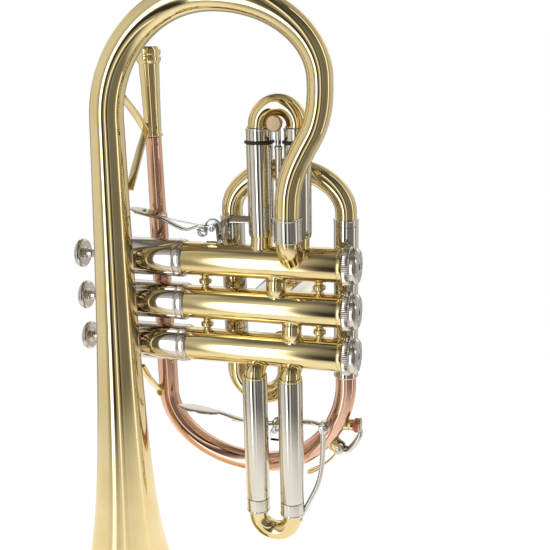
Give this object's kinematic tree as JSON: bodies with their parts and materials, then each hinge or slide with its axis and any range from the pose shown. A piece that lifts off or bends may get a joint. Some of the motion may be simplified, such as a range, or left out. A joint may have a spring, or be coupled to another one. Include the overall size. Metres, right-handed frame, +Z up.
{
  "type": "cornet",
  "caption": "Short-model cornet standing on its bell, with sprung piston valves, pull-out tuning slides worked by thumb and finger triggers, and a water key.",
  "frame": {"origin": "on the surface that the bell rim stands on, under the middle of the whole instrument's box", "axes": "+Z up the bell towards the mouthpiece end, +X along the valves from the finger buttons to the bottom caps, +Y towards the player's right hand"},
  "size_m": [0.1918, 0.1332, 0.3655],
  "materials": {
    "lacquered_brass": "polished and lacquered",
    "rose_brass": "polished and lacquered",
    "nickel_silver": "polished",
    "polished_nickel": "mirror polished plate",
    "piston_steel": "lapped"
  },
  "bodies": {
    "horn": {"bell": "lacquered_brass", "crook": "lacquered_brass", "bell_tail": "lacquered_brass", "tail_ferrule": "polished_nickel", "tail_knuckle": "lacquered_brass", "valve_casing_1": "lacquered_brass", "baluster_1": "polished_nickel", "top_cap_1": "polished_nickel", "bottom_cap_1": "polished_nickel", "valve_casing_2": "lacquered_brass", "baluster_2": "polished_nickel", "top_cap_2": "polished_nickel", "bottom_cap_2": "polished_nickel", "valve_casing_3": "lacquered_brass", "baluster_3": "polished_nickel", "top_cap_3": "polished_nickel", "bottom_cap_3": "polished_nickel", "spacer_front_12": "lacquered_brass", "spacer_back_12": "lacquered_brass", "spacer_front_23": "lacquered_brass", "spacer_back_23": "lacquered_brass", "crossover_12": "lacquered_brass", "crossover_23": "lacquered_brass", "slide1_port_a": "lacquered_brass", "slide1_port_b": "lacquered_brass", "slide1_outer_a": "nickel_silver", "slide1_outer_b": "nickel_silver", "slide3_port_a": "lacquered_brass", "slide3_port_b": "lacquered_brass", "slide3_outer_a": "nickel_silver", "slide3_outer_b": "nickel_silver", "slide2_outer_a": "nickel_silver", "slide2_outer_b": "nickel_silver", "main_outer_left": "nickel_silver", "main_outer_right": "nickel_silver", "return_bow": "lacquered_brass", "leadpipe": "rose_brass", "receiver": "lacquered_brass", "front_bow": "rose_brass", "upper_brace": "lacquered_brass", "lower_brace": "lacquered_brass", "trigger1_post": "nickel_silver", "trigger3_post": "nickel_silver", "water_key_saddle": "nickel_silver"},
    "valve_1": {"piston_1": "piston_steel", "finger_button_1": "polished_nickel"},
    "valve_2": {"piston_2": "piston_steel", "finger_button_2": "polished_nickel"},
    "valve_3": {"piston_3": "piston_steel", "finger_button_3": "polished_nickel"},
    "first_slide": {"slide1_bow": "lacquered_brass", "slide1_leg_a": "nickel_silver", "slide1_leg_b": "nickel_silver", "slide1_knob": "lacquered_brass"},
    "second_slide": {"slide2_slide": "lacquered_brass"},
    "third_slide": {"slide3_slide": "lacquered_brass"},
    "main_tuning_slide": {"main_slide": "lacquered_brass"},
    "first_trigger": {"trigger1_lever": "nickel_silver"},
    "third_trigger": {"trigger3_lever": "nickel_silver"},
    "water_key": {"water_key_lever": "nickel_silver"}
  },
  "joints": [
    {"name": "valve_1_press", "type": "slide", "parent": "horn", "child": "valve_1", "axis": [1, 0, 0], "range_m": [0, 0.0165], "stiffness_N_per_m": 100, "springref_m": -0.02},
    {"name": "valve_2_press", "type": "slide", "parent": "horn", "child": "valve_2", "axis": [1, 0, 0], "range_m": [0, 0.0165], "stiffness_N_per_m": 100, "springref_m": -0.02},
    {"name": "valve_3_press", "type": "slide", "parent": "horn", "child": "valve_3", "axis": [1, 0, 0], "range_m": [0, 0.0165], "stiffness_N_per_m": 100, "springref_m": -0.02},
    {"name": "first_slide_out", "type": "slide", "parent": "horn", "child": "first_slide", "axis": [0, 0, 1], "range_m": [0, 0.0064], "stiffness_N_per_m": 250, "springref_m": -0.01},
    {"name": "first_trigger_press", "type": "hinge", "parent": "horn", "child": "first_trigger", "pos_m": [0.0167, 0.0164, 0.2417], "axis": [0, 1, 0], "range_deg": [-10.5, 0]},
    {"name": "third_slide_out", "type": "slide", "parent": "horn", "child": "third_slide", "axis": [0, 0, -1], "range_m": [0, 0.009], "stiffness_N_per_m": 200, "springref_m": -0.02},
    {"name": "third_trigger_pull", "type": "hinge", "parent": "horn", "child": "third_trigger", "pos_m": [0.0489, 0.0164, 0.1285], "axis": [0, 1, 0], "range_deg": [0, 20.5]},
    {"name": "second_slide_out", "type": "slide", "parent": "horn", "child": "second_slide", "axis": [0, 1, 0], "range_m": [0, 0.012]},
    {"name": "main_tuning_slide_out", "type": "slide", "parent": "horn", "child": "main_tuning_slide", "axis": [0, 0, 1], "range_m": [0, 0.025]},
    {"name": "water_key_press", "type": "hinge", "parent": "horn", "child": "water_key", "pos_m": [0.0816, 0.0334, 0.112], "axis": [0, 1, 0], "range_deg": [0, 10], "stiffness_Nm_per_rad": 0.05, "springref_deg": -22.92}
  ],
  "couplings": [
    {"joint": "first_trigger_press", "follows": "first_slide_out", "rad_per_m": -27.32},
    {"joint": "third_trigger_pull", "follows": "third_slide_out", "rad_per_m": 37.74}
  ]
}
